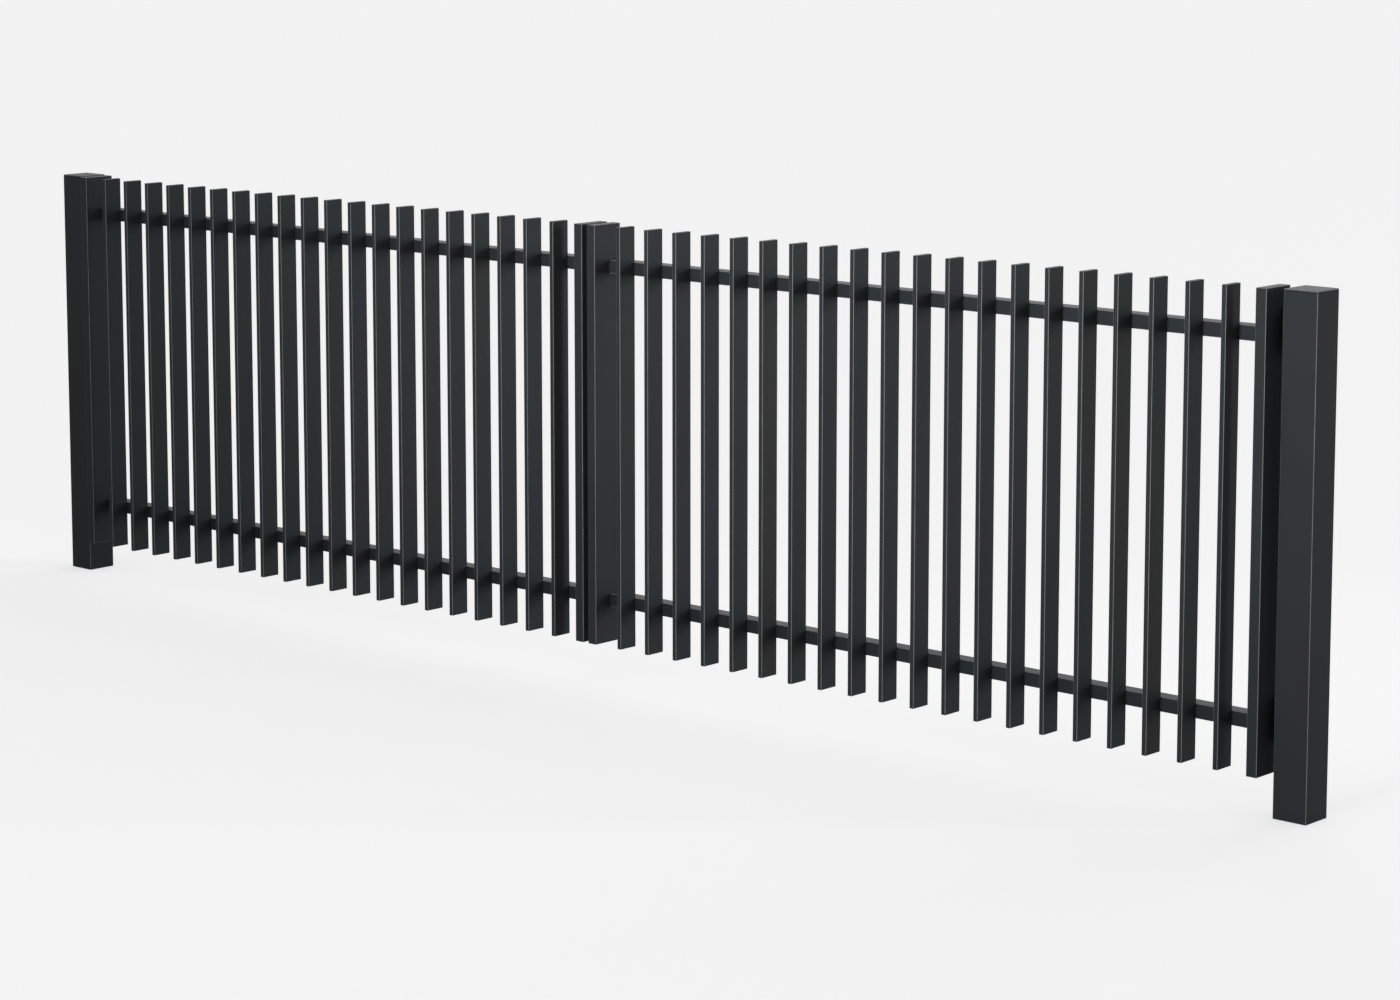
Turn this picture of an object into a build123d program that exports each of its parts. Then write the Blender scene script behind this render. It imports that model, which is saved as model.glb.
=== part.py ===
from build123d import *
import os

# Double-leaf driveway gate: two square posts and two leaves of upright slats on edge.
# Millimetres. +X runs along the gate, +Y to the side the leaves open to, +Z up.
# The origin is on the ground, at the middle of the left post's foot.

# Posts
post_size = 100.0
post_wall = 3.0
post_corner = 4.0
post_cap_thickness = 5.0
post_cap_spigot = 15.0
post_cap_bevel = 2.0
post_cap_seam = 1.0

# Leaf outline
leaf_height = 1250.0
ground_clearance = 105.0
leaf_proud = 30.0
hinge_gap = 30.0
meeting_gap = 20.0

# Slats, narrow edge to the front
slat_count = 20
slat_pitch = 110.0
slat_width = 15.0
slat_depth = 65.0
slat_wall = 1.5
slat_corner = 2.5
slat_cap_thickness = 2.0
slat_cap_spigot = 8.0
slat_cap_bevel = 0.8
slat_cap_seam = 0.5
end_gap = 86.0

# Stiles and rails
stile_width = 32.0
stile_wall = 2.0
stile_corner = 2.5
stile_cap_thickness = 3.0
stile_cap_spigot = 12.0
stile_cap_bevel = 0.8
stile_cap_seam = 0.6
rail_height = 40.0
rail_depth = 45.0
rail_wall = 2.0
rail_corner = 2.5
rail_inset = 106.0

# Lift-off hinges: the pin stands in the half on the post, the half on the leaf turns on it
hinge_plate = 4.0
hinge_plate_width = 32.0
hinge_plate_height = 70.0
hinge_plate_corner = 5.0
hinge_knuckle_height = 50.0
hinge_knuckle_end = 5.0
hinge_knuckle_rim = 2.0
hinge_web = 13.0
hinge_axis_inset = 5.0
hinge_pin_radius = 6.0
hinge_pin_tip = 1.5

# Clearances
cap_fit = 0.2
hinge_fit = 0.05
hinge_play = 0.3
hinge_pin_headroom = 1.0

# Places along the gate, as distances from its middle
leaf_width = (slat_count - 1) * slat_pitch + slat_width + 2 * (end_gap + stile_width)
leaf_start = meeting_gap / 2
leaf_end = leaf_start + leaf_width
hinge_axis_reach = leaf_end + hinge_gap / 2
half_opening = leaf_end + hinge_gap
post_reach = half_opening + post_size / 2
gate_middle = post_reach

# Places in depth, from the middle of the posts
leaf_front = -post_size / 2 - leaf_proud
slat_back = leaf_front + slat_depth
stile_depth = slat_depth + rail_depth
leaf_back = leaf_front + stile_depth
hinge_axis_y = leaf_back - hinge_axis_inset

# Heights above the ground
leaf_bottom = ground_clearance
leaf_top = leaf_bottom + leaf_height
leaf_mid_height = (leaf_bottom + leaf_top) / 2
lower_rail_z = leaf_bottom + rail_inset + rail_height / 2
upper_rail_z = leaf_top - rail_inset - rail_height / 2

# The knuckle lies against its own plate, on the axis in the middle of the hinge gap
hinge_knuckle_radius = hinge_gap / 2 - hinge_plate
hinge_web_length = hinge_gap / 2 - hinge_plate / 2
hinge_bore_depth = hinge_knuckle_height - hinge_knuckle_end
hinge_pin_reach = hinge_bore_depth - hinge_pin_headroom

os.makedirs("parts", exist_ok=True)


def save(part, node):
    """Label a finished piece and write it as one node."""
    part.label = node
    export_step(part, f"parts/{node}.step")


def upright_tubes(node, centres, width, depth, corner, wall, bottom, top):
    """Hollow upright tubes of one section, standing at the given centres."""
    with BuildPart() as tubes:
        with BuildSketch(Plane.XY.offset(bottom)):
            with Locations(*centres):
                RectangleRounded(width, depth, corner)
                Rectangle(width - 2 * wall, depth - 2 * wall, mode=Mode.SUBTRACT)
        extrude(amount=top - bottom)
    save(tubes.part, node)


def end_caps(node, centres, width, depth, corner, wall, thickness, spigot, bevel, seam):
    """Push-in caps for both ends of a leaf's upright tubes, bevelled on top and at the joint."""
    with BuildPart() as caps:
        with BuildSketch(Plane.XY.offset(leaf_top - thickness)):
            with Locations(*centres):
                RectangleRounded(width, depth, corner)
        extrude(amount=thickness)
        chamfer(caps.edges().group_by(Axis.Z)[-1], bevel)
        chamfer(caps.edges().group_by(Axis.Z)[0], seam)
        with BuildSketch(Plane.XY.offset(leaf_top - thickness)):
            with Locations(*centres):
                Rectangle(width - 2 * (wall + cap_fit), depth - 2 * (wall + cap_fit))
        extrude(amount=-spigot)
        mirror(about=Plane.XY.offset(leaf_mid_height))
    save(caps.part, node)


def post(node, centre):
    """Square tube from the ground up to the underside of its cap."""
    top = leaf_top - post_cap_thickness
    upright_tubes(node, [centre], post_size, post_size, post_corner, post_wall, 0, top)


def post_cap(node, centre):
    """Flat cap as wide as the post, bevelled on top and at the joint, with a spigot in the tube."""
    spigot_size = post_size - 2 * (post_wall + cap_fit)
    with BuildPart() as cap:
        with BuildSketch(Plane.XY.offset(leaf_top - post_cap_thickness)):
            with Locations(centre):
                RectangleRounded(post_size, post_size, post_corner)
        extrude(amount=post_cap_thickness)
        chamfer(cap.edges().group_by(Axis.Z)[-1], post_cap_bevel)
        chamfer(cap.edges().group_by(Axis.Z)[0], post_cap_seam)
        with BuildSketch(Plane.XY.offset(leaf_top - post_cap_thickness)):
            with Locations(centre):
                Rectangle(spigot_size, spigot_size)
        extrude(amount=-post_cap_spigot)
    save(cap.part, node)


def rail(node, centre_x, centre_z):
    """Hollow rail behind the slats, from stile to stile."""
    length = leaf_width - 2 * stile_width
    section = Plane((centre_x - length / 2, slat_back + rail_depth / 2, centre_z), (0, 1, 0), (1, 0, 0))
    with BuildPart() as bar:
        with BuildSketch(section):
            RectangleRounded(rail_depth, rail_height, rail_corner)
            Rectangle(rail_depth - 2 * rail_wall, rail_height - 2 * rail_wall, mode=Mode.SUBTRACT)
        extrude(amount=length)
    save(bar.part, node)


def hinge_blank(side, axis_x, split_z, up):
    """Plate, web and plain knuckle of one hinge half, above the split (up = 1) or below it (up = -1)."""
    with BuildPart() as blank:
        with BuildSketch(Plane.XY.offset(split_z)):
            with Locations((axis_x, hinge_axis_y)):
                Circle(hinge_knuckle_radius)
        extrude(amount=up * hinge_knuckle_height)
        rims = blank.edges().sort_by(Axis.Z)
        fillet(rims[-1] if up > 0 else rims[0], hinge_knuckle_rim)
        with BuildSketch(Plane.XY.offset(split_z)):
            with Locations((axis_x + side * hinge_web_length / 2, hinge_axis_y - hinge_web / 2)):
                Rectangle(hinge_web_length, hinge_web)
        extrude(amount=up * (hinge_knuckle_height - hinge_knuckle_rim))
        plate_x = axis_x + side * hinge_gap / 2
        plate_z = split_z + up * hinge_plate_height / 2
        seat = Plane((plate_x, leaf_back - hinge_plate_width / 2, plate_z), (0, 1, 0), (-side, 0, 0))
        with BuildSketch(seat):
            RectangleRounded(hinge_plate_width, hinge_plate_height, hinge_plate_corner)
        extrude(amount=hinge_plate)
    return blank.part


def hinge_post_half(node, side, axis_x, middle_z):
    """Hinge half on the post: plate, lower knuckle and the pin that stands up from it."""
    split_z = middle_z - hinge_play / 2
    blank = hinge_blank(side, axis_x, split_z, -1)
    with BuildPart() as half:
        add(blank)
        with BuildSketch(Plane.XY.offset(split_z)):
            with Locations((axis_x, hinge_axis_y)):
                Circle(hinge_pin_radius)
        extrude(amount=hinge_play + hinge_pin_reach)
        chamfer(half.edges().sort_by(Axis.Z)[-1], hinge_pin_tip)
    save(half.part, node)


def hinge_leaf_half(node, side, axis_x, middle_z):
    """Hinge half on the leaf: plate and upper knuckle, with a blind bore over the pin."""
    split_z = middle_z + hinge_play / 2
    blank = hinge_blank(side, axis_x, split_z, 1)
    with BuildPart() as half:
        add(blank)
        with BuildSketch(Plane.XY.offset(split_z)):
            with Locations((axis_x, hinge_axis_y)):
                Circle(hinge_pin_radius + hinge_fit)
        extrude(amount=hinge_bore_depth, mode=Mode.SUBTRACT)
    save(half.part, node)


def leaf(name, side):
    """All the pieces of one leaf: its stiles, rails, slats and their caps."""
    upright_y = leaf_front + stile_depth / 2
    hinge_stile_x = gate_middle + side * (leaf_end - stile_width / 2)
    meeting_stile_x = gate_middle + side * (leaf_start + stile_width / 2)
    stile_section = (stile_width, stile_depth, stile_corner, stile_wall)
    stile_ends = (leaf_bottom + stile_cap_thickness, leaf_top - stile_cap_thickness)
    upright_tubes(f"{name}_hinge_stile", [(hinge_stile_x, upright_y)], *stile_section, *stile_ends)
    upright_tubes(f"{name}_meeting_stile", [(meeting_stile_x, upright_y)], *stile_section, *stile_ends)
    stile_centres = [(hinge_stile_x, upright_y), (meeting_stile_x, upright_y)]
    stile_cap = (stile_cap_thickness, stile_cap_spigot, stile_cap_bevel, stile_cap_seam)
    end_caps(f"{name}_stile_caps", stile_centres, *stile_section, *stile_cap)

    first_slat = leaf_start + stile_width + end_gap + slat_width / 2
    slat_y = leaf_front + slat_depth / 2
    slat_centres = [
        (gate_middle + side * (first_slat + i * slat_pitch), slat_y) for i in range(slat_count)
    ]
    slat_section = (slat_width, slat_depth, slat_corner, slat_wall)
    slat_ends = (leaf_bottom + slat_cap_thickness, leaf_top - slat_cap_thickness)
    upright_tubes(f"{name}_slats", slat_centres, *slat_section, *slat_ends)
    slat_cap = (slat_cap_thickness, slat_cap_spigot, slat_cap_bevel, slat_cap_seam)
    end_caps(f"{name}_slat_caps", slat_centres, *slat_section, *slat_cap)

    leaf_x = gate_middle + side * (leaf_start + leaf_width / 2)
    rail(f"{name}_upper_rail", leaf_x, upper_rail_z)
    rail(f"{name}_lower_rail", leaf_x, lower_rail_z)


def hinges(name, side):
    """The two hinges of one leaf, at the height of its rails."""
    axis_x = gate_middle + side * hinge_axis_reach
    for level, middle_z in (("upper", upper_rail_z), ("lower", lower_rail_z)):
        hinge_post_half(f"{name}_{level}_hinge_pin", side, axis_x, middle_z)
        hinge_leaf_half(f"{name}_{level}_hinge_knuckle", -side, axis_x, middle_z)


for name, side in (("left", -1), ("right", 1)):
    post_centre = (gate_middle + side * post_reach, 0)
    post(f"{name}_post", post_centre)
    post_cap(f"{name}_post_cap", post_centre)
    leaf(name, side)
    hinges(name, side)
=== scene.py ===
import math

import bmesh
import bpy
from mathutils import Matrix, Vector


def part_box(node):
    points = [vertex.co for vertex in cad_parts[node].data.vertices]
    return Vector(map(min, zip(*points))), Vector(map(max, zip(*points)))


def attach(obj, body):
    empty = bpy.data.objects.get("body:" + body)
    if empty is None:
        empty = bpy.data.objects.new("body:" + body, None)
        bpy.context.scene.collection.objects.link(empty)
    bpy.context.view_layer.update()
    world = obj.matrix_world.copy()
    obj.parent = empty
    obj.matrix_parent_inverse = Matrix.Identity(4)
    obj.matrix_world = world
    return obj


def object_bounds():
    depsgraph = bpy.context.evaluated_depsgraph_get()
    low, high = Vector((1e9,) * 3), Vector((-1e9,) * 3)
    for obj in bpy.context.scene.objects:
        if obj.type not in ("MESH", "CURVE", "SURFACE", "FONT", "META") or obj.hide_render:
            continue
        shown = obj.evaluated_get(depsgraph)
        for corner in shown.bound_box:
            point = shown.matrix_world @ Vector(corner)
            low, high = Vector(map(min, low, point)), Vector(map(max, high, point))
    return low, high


# Looks of the double-leaf driveway gate: powder-coated tubes, plastic end caps, welds, hinge screws.
# Metres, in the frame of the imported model: +X along the gate, +Y to the side it opens to, +Z up.

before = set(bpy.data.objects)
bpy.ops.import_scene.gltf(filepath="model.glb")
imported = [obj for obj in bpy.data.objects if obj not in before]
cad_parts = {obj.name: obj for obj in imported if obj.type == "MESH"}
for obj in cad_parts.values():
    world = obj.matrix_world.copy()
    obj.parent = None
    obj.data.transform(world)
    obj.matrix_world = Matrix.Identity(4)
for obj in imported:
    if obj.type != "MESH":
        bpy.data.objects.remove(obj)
cad_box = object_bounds()

MM = 0.001

# Camera of the photograph. The azimuth is measured from -Y towards +X, the pitch is downwards,
# the lens is in millimetres and the shift is a share of the picture's width.
CAMERA_PLACE = (9.560, -7.506, 2.403)
CAMERA_AZIMUTH = 41.94
CAMERA_PITCH = 7.56
CAMERA_LENS = 90.78
CAMERA_SHIFT = -0.12
CAMERA_REACH = 200.0

# Studio: pale grey surroundings that light the gate weakly, and a matt floor that glows up to that
# grey where it is seen
BACKDROP_GREY = 0.896
AMBIENT_GREY = 0.345
FLOOR_GREY = 0.62
FLOOR_GLOW = 0.629
FLOOR_SIZE = 120.0
FLOOR_SEGMENTS = 8

# Lamps that fade away from the middle of their beams: one in front of the gate, aimed above it so
# that its light fades downwards, and three above each other to the right behind the gate.
# Name, azimuth and elevation it shines from (degrees), the point it is aimed at, the radius of its
# beam there, its own radius, and the nominal irradiance in the middle of its beam.
BEAM_LENGTH = 14.0
SIDE_TARGET = (2.5, 0.0, 0.85)
BEAMS = (
    ("front_light", 3.0, -10.0, (4.0, 0.0, 4.2), 5.8, 1.4, 3.5),
    ("low_side_light", 128.0, -1.0, SIDE_TARGET, 2.1, 1.2, 0.78),
    ("side_light", 128.0, 7.0, SIDE_TARGET, 2.1, 1.2, 0.75),
    ("high_side_light", 128.0, 15.0, SIDE_TARGET, 2.1, 1.2, 0.62),
)

# Even lamps behind the gate: name, azimuth and elevation it shines from, how wide it looks
# (degrees), and its irradiance
EVEN_LAMPS = (
    ("rim_light", 218.0, 18.0, 30.0, 0.25),
    ("back_light", 178.0, 12.0, 35.0, 0.8),
)

# Finishes, in linear light
COAT_COLOUR = (0.0310, 0.0360, 0.0395)
# Painted highlight: the tubes' rounded corners are made much lighter than the coat
COAT_CORNER_HIGHLIGHT = (0.290, 0.300, 0.310)
COAT_GLOSS = 0.03
COAT_ROUGHNESS = 0.42
CAP_COLOUR = (0.0325, 0.0355, 0.0390)
# Painted highlight on the caps' rims
CAP_RIM_HIGHLIGHT = (0.190, 0.195, 0.205)
# Near-black painted shade in the joint between a cap and its tube
CAP_JOINT_SHADE = (0.0040, 0.0042, 0.0045)
CAP_GLOSS = 0.10
CAP_ROUGHNESS = 0.50
HINGE_COLOUR = (0.0270, 0.0292, 0.0318)
# A mild painted highlight on the hinges' corners
HINGE_CORNER_HIGHLIGHT = (0.045, 0.048, 0.051)
HINGE_GLOSS = 0.25
HINGE_ROUGHNESS = 0.40
ZINC_COLOUR = (0.30, 0.31, 0.32)
ZINC_SHADES = (0.8, 1.1)
ZINC_ROUGHNESS = (0.28, 0.42)

# Noise in the finishes: scale per metre and detail, and the range that most of its values lie in
TONE_NOISE = (2.3, 3.0)
GRAIN_NOISE = (900.0, 2.0)
# Noise that breaks up the painted highlight on corners
HIGHLIGHT_NOISE = (14.0, 4.0)
CLOUD_NOISE = (700.0, 3.0)
NOISE_RANGE = (0.3, 0.7)

# How far a coat's tone and roughness drift, and its grain: the noise at which a crest starts and is
# full, how strongly crests show, how much lighter they are, and their relief
TONE_SHADES = (0.93, 1.07)
ROUGHNESS_DRIFT = 0.03
GRAIN_CREST = (0.55, 0.8)
GRAIN_STRENGTH = 0.5
GRAIN_SHADE = 1.5
GRAIN_RELIEF = 0.5
GRAIN_DEPTH = 0.05 * MM

# How far a corner has turned from the flat side where its painted highlight starts and is full,
# as the largest part of its normal: on slender tubes nearly the whole corner, on posts its middle.
# Noise breaks up the painted highlight: where it is weakest, it keeps the least share of its strength.
SLENDER_CORNER = (0.93, 0.86)
POST_CORNER = (0.88, 0.78)
HIGHLIGHT_LEAST = 0.75

# How far a cap's rim has turned back along its tube where the painted shade of their joint starts and
# is full
JOINT_SHADE_TURN = (-0.3, -0.6)

# Fillet welds between tubes. A ripple swells by a share of the leg, and its middle runs ahead by a
# share of its length. The crown takes a bead's face from flat (0) towards round (1). A bead stops
# short of a rail's corners by the inset. At its ends it is a share of its full size, and from there
# it grows by so many full sizes per length.
BEAD_LEG = 3.0 * MM
BEAD_RIPPLE = 2.6 * MM
BEAD_RIPPLE_STEPS = 4
BEAD_SWELL = 0.10
BEAD_SAG = 0.4
BEAD_CROWN = 0.35
BEAD_FACES = 5
BEAD_INSET = 4.0 * MM
BEAD_END = 0.35
BEAD_END_GROWTH = 4.0

# Hinge plates, and the button-head socket screws in them. The outline of a head is in shares of its
# height and of its radius, and the socket narrows to a share of its width below its rim. The screws
# stand at distances from the free end of their plate.
PLATE_THICKNESS = 4.0 * MM
PLATE_WIDTH = 32.0 * MM
SCREW_HEAD_RADIUS = 4.75 * MM
SCREW_HEAD_HEIGHT = 2.75 * MM
SCREW_OUTLINE = ((0.0, 0.96), (0.08, 1.0), (0.45, 0.93), (0.75, 0.80), (0.94, 0.60), (1.0, 0.46))
SCREW_SOCKET = 3.0 * MM
SCREW_SOCKET_NARROWING = 0.94
SCREW_SOCKET_RIM = 0.15 * MM
SCREW_SOCKET_DEPTH = 1.6 * MM
SCREW_POINTS = 24
SCREW_EDGE_MARGIN = 7.0 * MM
SCREW_DISTANCES = (10.0 * MM, 30.0 * MM, 58.0 * MM)

# Meshes: the turn from which an edge is sharp (degrees), and how near two points count as one
SHARP_TURN = 40.0
SAME_POINT = 0.01 * MM

SIDES = ("left", "right")
LEVELS = ("upper", "lower")


def new_material(name):
    """A node material, with its tree and its shader."""
    material = bpy.data.materials.new(name)
    material.use_nodes = True
    tree = material.node_tree
    return material, tree, tree.nodes["Principled BSDF"]


def noise(tree, coordinates, scale, detail):
    """Noise over the object's own coordinates, at a scale per metre."""
    node = tree.nodes.new("ShaderNodeTexNoise")
    node.inputs["Scale"].default_value = scale
    node.inputs["Detail"].default_value = detail
    tree.links.new(coordinates, node.inputs["Vector"])
    return node.outputs["Fac"]


def map_range(tree, value, source, target=(0.0, 1.0)):
    """A value taken from one range to another, clamped."""
    node = tree.nodes.new("ShaderNodeMapRange")
    node.inputs["From Min"].default_value = source[0]
    node.inputs["From Max"].default_value = source[1]
    node.inputs["To Min"].default_value = target[0]
    node.inputs["To Max"].default_value = target[1]
    tree.links.new(value, node.inputs["Value"])
    return node.outputs["Result"]


def combine(tree, operation, values):
    """Several values taken together, such as their maximum or their product."""
    result = values[0]
    for value in values[1:]:
        node = tree.nodes.new("ShaderNodeMath")
        node.operation = operation
        tree.links.new(result, node.inputs[0])
        tree.links.new(value, node.inputs[1])
        result = node.outputs["Value"]
    return result


def mix_colours(tree, factor, first, second):
    """The first colour where the factor is 0, the second where it is 1. Either may be a socket."""
    node = tree.nodes.new("ShaderNodeMix")
    node.data_type = "RGBA"
    tree.links.new(factor, node.inputs["Factor"])
    for socket, colour in ((node.inputs["A"], first), (node.inputs["B"], second)):
        if isinstance(colour, tuple):
            socket.default_value = (*colour, 1.0)
        else:
            tree.links.new(colour, socket)
    return node.outputs["Result"]


def shade(colour, factor):
    """A colour made lighter or darker."""
    return tuple(channel * factor for channel in colour)


def drifting_tone(tree, drift, colour, shades):
    """A colour that a noise takes from a darker shade to a lighter one."""
    darker, lighter = [shade(colour, factor) for factor in shades]
    return mix_colours(tree, map_range(tree, drift, NOISE_RANGE), darker, lighter)


def corner_mask(tree, normal, turned):
    """1 where a tube's surface turns from one side to the next, 0 on its flat sides."""
    absolute = tree.nodes.new("ShaderNodeVectorMath")
    absolute.operation = "ABSOLUTE"
    tree.links.new(normal, absolute.inputs[0])
    split = tree.nodes.new("ShaderNodeSeparateXYZ")
    tree.links.new(absolute.outputs["Vector"], split.inputs["Vector"])
    largest = combine(tree, "MAXIMUM", [split.outputs[axis] for axis in ("X", "Y", "Z")])
    return map_range(tree, largest, turned)


def joint_shade_mask(tree, place):
    """Where painted shade goes: 1 where an end cap's rim turns back along its tube into their joint,
    else 0.
    """
    split = {}
    for kind in ("Object", "Normal"):
        split[kind] = tree.nodes.new("ShaderNodeSeparateXYZ")
        tree.links.new(place.outputs[kind], split[kind].inputs["Vector"])
    low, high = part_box("left_hinge_stile")
    end = map_range(tree, split["Object"].outputs["Z"], (low.z, high.z), (-1.0, 1.0))
    turn = combine(tree, "MULTIPLY", [end, split["Normal"].outputs["Z"]])
    return map_range(tree, turn, JOINT_SHADE_TURN)


def coat(name, colour, gloss, roughness, highlight_colour=None, turned=SLENDER_CORNER, joint_shade=None):
    """A coat with a fine grain, whose tone and gloss drift; it may paint highlight on corners and
    shade in a joint.
    """
    material, tree, shader = new_material(name)
    place = tree.nodes.new("ShaderNodeTexCoord")
    drift = noise(tree, place.outputs["Object"], *TONE_NOISE)
    grain = noise(tree, place.outputs["Object"], *GRAIN_NOISE)
    crests = map_range(tree, grain, GRAIN_CREST, (0.0, GRAIN_STRENGTH))
    tone = drifting_tone(tree, drift, colour, TONE_SHADES)
    tone = mix_colours(tree, crests, tone, shade(colour, GRAIN_SHADE))
    # Painted highlight on the corners, broken up unevenly by noise
    if highlight_colour:
        corner = corner_mask(tree, place.outputs["Normal"], turned)
        highlight_noise = noise(tree, place.outputs["Object"], *HIGHLIGHT_NOISE)
        highlight_share = map_range(tree, highlight_noise, NOISE_RANGE, (HIGHLIGHT_LEAST, 1.0))
        tone = mix_colours(tree, combine(tree, "MULTIPLY", [corner, highlight_share]), tone, highlight_colour)
    # Painted shade in the joint between an end cap and its tube
    if joint_shade:
        tone = mix_colours(tree, joint_shade_mask(tree, place), tone, joint_shade)
    tree.links.new(tone, shader.inputs["Base Color"])
    rough_range = (roughness - ROUGHNESS_DRIFT, roughness + ROUGHNESS_DRIFT)
    tree.links.new(map_range(tree, drift, NOISE_RANGE, rough_range), shader.inputs["Roughness"])
    bump = tree.nodes.new("ShaderNodeBump")
    bump.inputs["Strength"].default_value = GRAIN_RELIEF
    bump.inputs["Distance"].default_value = GRAIN_DEPTH
    tree.links.new(grain, bump.inputs["Height"])
    tree.links.new(bump.outputs["Normal"], shader.inputs["Normal"])
    shader.inputs["Specular IOR Level"].default_value = gloss
    return material


def zinc(name):
    """Zinc-plated steel with a faint cloudy gloss."""
    material, tree, shader = new_material(name)
    place = tree.nodes.new("ShaderNodeTexCoord")
    cloud = noise(tree, place.outputs["Object"], *CLOUD_NOISE)
    tree.links.new(drifting_tone(tree, cloud, ZINC_COLOUR, ZINC_SHADES), shader.inputs["Base Color"])
    tree.links.new(map_range(tree, cloud, NOISE_RANGE, ZINC_ROUGHNESS), shader.inputs["Roughness"])
    shader.inputs["Metallic"].default_value = 1.0
    return material


def seen(tree):
    """1 for what the camera sees, also in a reflection or a clear piece, and 0 for scattered light."""
    path = tree.nodes.new("ShaderNodeLightPath")
    rays = [path.outputs[f"Is {kind} Ray"] for kind in ("Camera", "Glossy", "Transmission")]
    return combine(tree, "MAXIMUM", rays)


def grey(level):
    """A neutral colour."""
    return (level, level, level, 1.0)


def floor_material():
    """Pale matt floor, with a glow where it is seen that brings it up to the backdrop's grey."""
    material, tree, shader = new_material("studio_floor")
    shader.inputs["Base Color"].default_value = grey(FLOOR_GREY)
    shader.inputs["Roughness"].default_value = 1.0
    shader.inputs["Specular IOR Level"].default_value = 0.0
    glow = tree.nodes.new("ShaderNodeEmission")
    glow.inputs["Color"].default_value = grey(FLOOR_GLOW)
    tree.links.new(seen(tree), glow.inputs["Strength"])
    both = tree.nodes.new("ShaderNodeAddShader")
    tree.links.new(shader.outputs["BSDF"], both.inputs[0])
    tree.links.new(glow.outputs["Emission"], both.inputs[1])
    tree.links.new(both.outputs["Shader"], tree.nodes["Material Output"].inputs["Surface"])
    return material


def finish_cad_nodes(finishes, post_finish):
    """Gives each CAD node the finish of its record slot, or the posts' own."""
    for name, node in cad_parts.items():
        for slot in node.material_slots:
            slot.material = post_finish if name.endswith("_post") else finishes[slot.material.name]


def piece(name, mesh, body, material):
    """Makes an object of a finished bmesh, which moves with a body of the gate."""
    bmesh.ops.recalc_face_normals(mesh, faces=mesh.faces)
    data = bpy.data.meshes.new(name)
    mesh.to_mesh(data)
    mesh.free()
    data.shade_smooth()
    data.set_sharp_from_angle(angle=math.radians(SHARP_TURN))
    data.materials.append(material)
    thing = bpy.data.objects.new(name, data)
    bpy.context.scene.collection.objects.link(thing)
    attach(thing, body)


def loft(mesh, rings):
    """Adds a closed skin over rings of equally many points, with a face over each end."""
    layers = [[mesh.verts.new(point) for point in ring] for ring in rings]
    count = len(layers[0])
    for lower, upper in zip(layers, layers[1:]):
        for i in range(count):
            j = (i + 1) % count
            mesh.faces.new((lower[i], lower[j], upper[j], upper[i]))
    mesh.faces.new(reversed(layers[0]))
    mesh.faces.new(layers[-1])


def bead(mesh, start, end, wall_a, wall_b):
    """Adds a rippled fillet weld in a corner, from which wall_a and wall_b point along its walls."""
    run = end - start
    along = run.normalized()
    ripples = round(run.length / BEAD_RIPPLE)
    ring_count = ripples * BEAD_RIPPLE_STEPS
    rings = []
    for i in range(ring_count + 1):
        share = i / ring_count
        corner = start + run * share
        end_taper = min(1.0, BEAD_END + BEAD_END_GROWTH * min(share, 1.0 - share))
        leg = BEAD_LEG * end_taper * (1 + BEAD_SWELL * math.cos(2 * math.pi * ripples * share))
        ring = [corner]
        for k in range(BEAD_FACES + 1):
            turn = math.pi / 2 * k / BEAD_FACES
            flat = 1 / (math.cos(turn) + math.sin(turn))
            reach = leg * (flat + BEAD_CROWN * (1 - flat))
            sag = along * BEAD_RIPPLE * BEAD_SAG * math.sin(2 * turn)
            ring.append(corner + (wall_a * math.cos(turn) + wall_b * math.sin(turn)) * reach + sag)
        rings.append(ring)
    loft(mesh, rings)


def solid_boxes(node_name):
    """Lowest and highest corner of each separate solid in a CAD node, from left to right."""
    mesh = bmesh.new()
    mesh.from_mesh(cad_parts[node_name].data)
    bmesh.ops.remove_doubles(mesh, verts=mesh.verts, dist=SAME_POINT)
    unseen = set(mesh.verts)
    boxes = []
    while unseen:
        found = [unseen.pop()]
        points = []
        while found:
            vertex = found.pop()
            points.append(vertex.co.copy())
            neighbours = {edge.other_vert(vertex) for edge in vertex.link_edges} & unseen
            unseen -= neighbours
            found.extend(neighbours)
        low = Vector(tuple(min(point[axis] for point in points) for axis in range(3)))
        high = Vector(tuple(max(point[axis] for point in points) for axis in range(3)))
        boxes.append((low, high))
    mesh.free()
    return sorted(boxes, key=lambda corners: corners[0].x)


def rail_welds(side, level, material):
    """Welds of one rail: two to each slat in front of it, and three to the stile at each end."""
    mesh = bmesh.new()
    low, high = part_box(f"{side}_{level}_rail")
    left, right = Vector((-1, 0, 0)), Vector((1, 0, 0))
    front = Vector((0, -1, 0))
    down, up = Vector((0, 0, -1)), Vector((0, 0, 1))
    bottom, top = low.z + BEAD_INSET, high.z - BEAD_INSET
    for slat_low, slat_high in solid_boxes(f"{side}_slats"):
        for edge, outward in ((slat_low.x, left), (slat_high.x, right)):
            bead(mesh, Vector((edge, low.y, bottom)), Vector((edge, low.y, top)), outward, front)
    near, far = low.y + BEAD_INSET, high.y - BEAD_INSET
    for edge, inward in ((low.x, right), (high.x, left)):
        bead(mesh, Vector((edge, low.y, bottom)), Vector((edge, low.y, top)), inward, front)
        bead(mesh, Vector((edge, near, high.z)), Vector((edge, far, high.z)), inward, up)
        bead(mesh, Vector((edge, near, low.z)), Vector((edge, far, low.z)), inward, down)
    piece(f"{side}_{level}_rail_welds", mesh, f"{side}_leaf", material)


def circle(radius, height):
    """Points round a circle, each with two places across the screw's axis and one along it."""
    angles = [2 * math.pi * i / SCREW_POINTS for i in range(SCREW_POINTS)]
    return [(radius * math.cos(a), radius * math.sin(a), height) for a in angles]


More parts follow.
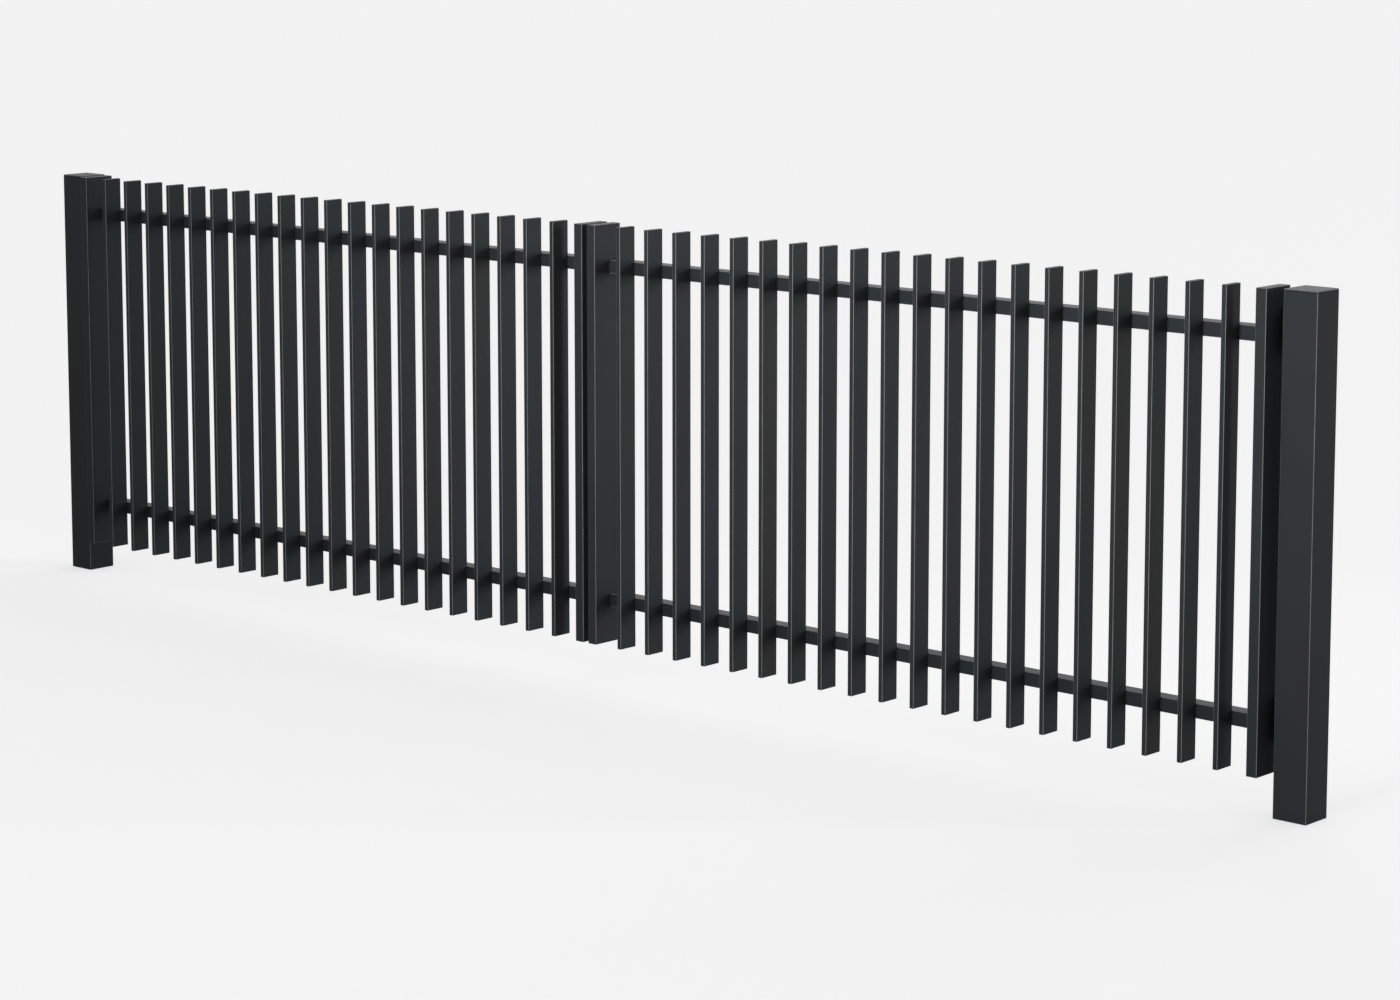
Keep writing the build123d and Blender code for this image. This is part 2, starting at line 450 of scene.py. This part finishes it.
def hexagon(across_flats, height):
    """The same number of points round a hexagon."""
    points = []
    for i in range(SCREW_POINTS):
        angle = 2 * math.pi * i / SCREW_POINTS
        from_flat = (angle % (math.pi / 3)) - math.pi / 6
        radius = across_flats / 2 / math.cos(from_flat)
        points.append((radius * math.cos(angle), radius * math.sin(angle), height))
    return points


def screw(mesh, seat, outward):
    """Adds a button-head screw on an upright plate at seat, its socket facing outward along X."""
    top = SCREW_HEAD_HEIGHT
    narrow = SCREW_SOCKET * SCREW_SOCKET_NARROWING
    profile = [circle(SCREW_HEAD_RADIUS * reach, top * lift) for lift, reach in SCREW_OUTLINE]
    profile.append(hexagon(SCREW_SOCKET, top))
    profile.append(hexagon(narrow, top - SCREW_SOCKET_RIM))
    profile.append(hexagon(narrow, top - SCREW_SOCKET_DEPTH))
    rings = []
    for ring in profile:
        rings.append([seat + Vector((outward * height, across, up)) for across, up, height in ring])
    loft(mesh, rings)


def hinge_screws(side, level, half, body, material):
    """Three screws in one hinge plate: one at the plate's free end and two beside the knuckle."""
    low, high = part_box(f"{side}_{level}_hinge_{half}")
    plate_is_left = (side == "left") == (half == "pin")
    outward = 1 if plate_is_left else -1
    face = low.x + PLATE_THICKNESS if plate_is_left else high.x - PLATE_THICKNESS
    end, inward = (low.z, 1) if half == "pin" else (high.z, -1)
    strip = low.y + SCREW_EDGE_MARGIN
    places_across = (low.y + PLATE_WIDTH / 2, strip, strip)
    mesh = bmesh.new()
    for across, distance in zip(places_across, SCREW_DISTANCES):
        screw(mesh, Vector((face, across, end + inward * distance)), outward)
    piece(f"{side}_{level}_hinge_{half}_screws", mesh, body, material)


def build_floor():
    """Pale floor that runs out of view on all sides."""
    middle = (cad_box[0] + cad_box[1]) / 2
    mesh = bmesh.new()
    segments = FLOOR_SEGMENTS
    bmesh.ops.create_grid(mesh, x_segments=segments, y_segments=segments, size=FLOOR_SIZE / 2)
    bmesh.ops.translate(mesh, verts=mesh.verts, vec=(middle.x, middle.y, cad_box[0].z))
    data = bpy.data.meshes.new("studio_floor")
    mesh.to_mesh(data)
    mesh.free()
    data.materials.append(floor_material())
    floor = bpy.data.objects.new("studio_floor", data)
    bpy.context.scene.collection.objects.link(floor)


def build_surroundings():
    """Even surroundings: the backdrop's grey where they are seen, and a weaker grey as light."""
    world = bpy.data.worlds.new("studio")
    world.use_nodes = True
    tree = world.node_tree
    light = tree.nodes["Background"]
    light.inputs["Color"].default_value = grey(AMBIENT_GREY)
    backdrop = tree.nodes.new("ShaderNodeBackground")
    backdrop.inputs["Color"].default_value = grey(BACKDROP_GREY)
    mixed = tree.nodes.new("ShaderNodeMixShader")
    tree.links.new(seen(tree), mixed.inputs["Fac"])
    tree.links.new(light.outputs["Background"], mixed.inputs[1])
    tree.links.new(backdrop.outputs["Background"], mixed.inputs[2])
    tree.links.new(mixed.outputs["Shader"], tree.nodes["World Output"].inputs["Surface"])
    bpy.context.scene.world = world


def direction(azimuth, elevation):
    """Unit vector towards an azimuth from -Y, turning to +X, and an elevation, in degrees."""
    azimuth, elevation = math.radians(azimuth), math.radians(elevation)
    flat = math.cos(elevation)
    return Vector((flat * math.sin(azimuth), -flat * math.cos(azimuth), math.sin(elevation)))


def lamp(data, azimuth, elevation, target=(0.0, 0.0, 0.0)):
    """Stands a lamp a beam's length from its target, facing it."""
    towards = direction(azimuth, elevation)
    thing = bpy.data.objects.new(data.name, data)
    thing.location = Vector(target) + BEAM_LENGTH * towards
    thing.rotation_euler = towards.to_track_quat("Z", "Y").to_euler()
    bpy.context.scene.collection.objects.link(thing)


def build_lamps():
    """The beams that fade away from their middles, and the even lamps."""
    for name, azimuth, elevation, target, beam_radius, lamp_radius, irradiance in BEAMS:
        data = bpy.data.lights.new(name, "SPOT")
        data.energy = irradiance * 4 * math.pi * BEAM_LENGTH**2
        data.shadow_soft_size = lamp_radius
        data.spot_size = 2 * math.atan(beam_radius / BEAM_LENGTH)
        data.spot_blend = 1.0
        lamp(data, azimuth, elevation, target)
    for name, azimuth, elevation, width, irradiance in EVEN_LAMPS:
        data = bpy.data.lights.new(name, "SUN")
        data.energy = irradiance
        data.angle = math.radians(width)
        lamp(data, azimuth, elevation)


def build_camera():
    """The photograph's camera."""
    data = bpy.data.cameras.new("photo_camera")
    data.lens = CAMERA_LENS
    data.shift_y = CAMERA_SHIFT
    data.clip_end = CAMERA_REACH
    camera = bpy.data.objects.new("photo_camera", data)
    camera.location = CAMERA_PLACE
    camera.rotation_euler = (math.radians(90 - CAMERA_PITCH), 0.0, math.radians(CAMERA_AZIMUTH))
    bpy.context.scene.collection.objects.link(camera)
    bpy.context.scene.camera = camera


bpy.context.scene.view_settings.view_transform = "Standard"
coat_values = (COAT_COLOUR, COAT_GLOSS, COAT_ROUGHNESS)
cap_values = (CAP_COLOUR, CAP_GLOSS, CAP_ROUGHNESS)
hinge_values = (HINGE_COLOUR, HINGE_GLOSS, HINGE_ROUGHNESS)
post_finish = coat("post_coat", *coat_values, COAT_CORNER_HIGHLIGHT, POST_CORNER)
weld_finish = coat("weld_coat", *coat_values)
screw_finish = zinc("screw_zinc")
finishes = {
    "frame": coat("leaf_coat", *coat_values, COAT_CORNER_HIGHLIGHT),
    "end_caps": coat("cap_plastic", *cap_values, CAP_RIM_HIGHLIGHT, joint_shade=CAP_JOINT_SHADE),
    "hinges": coat("hinge_coat", *hinge_values, HINGE_CORNER_HIGHLIGHT),
}
finish_cad_nodes(finishes, post_finish)
for side in SIDES:
    for level in LEVELS:
        rail_welds(side, level, weld_finish)
        hinge_screws(side, level, "pin", "posts", screw_finish)
        hinge_screws(side, level, "knuckle", f"{side}_leaf", screw_finish)
build_floor()
build_surroundings()
build_lamps()
build_camera()
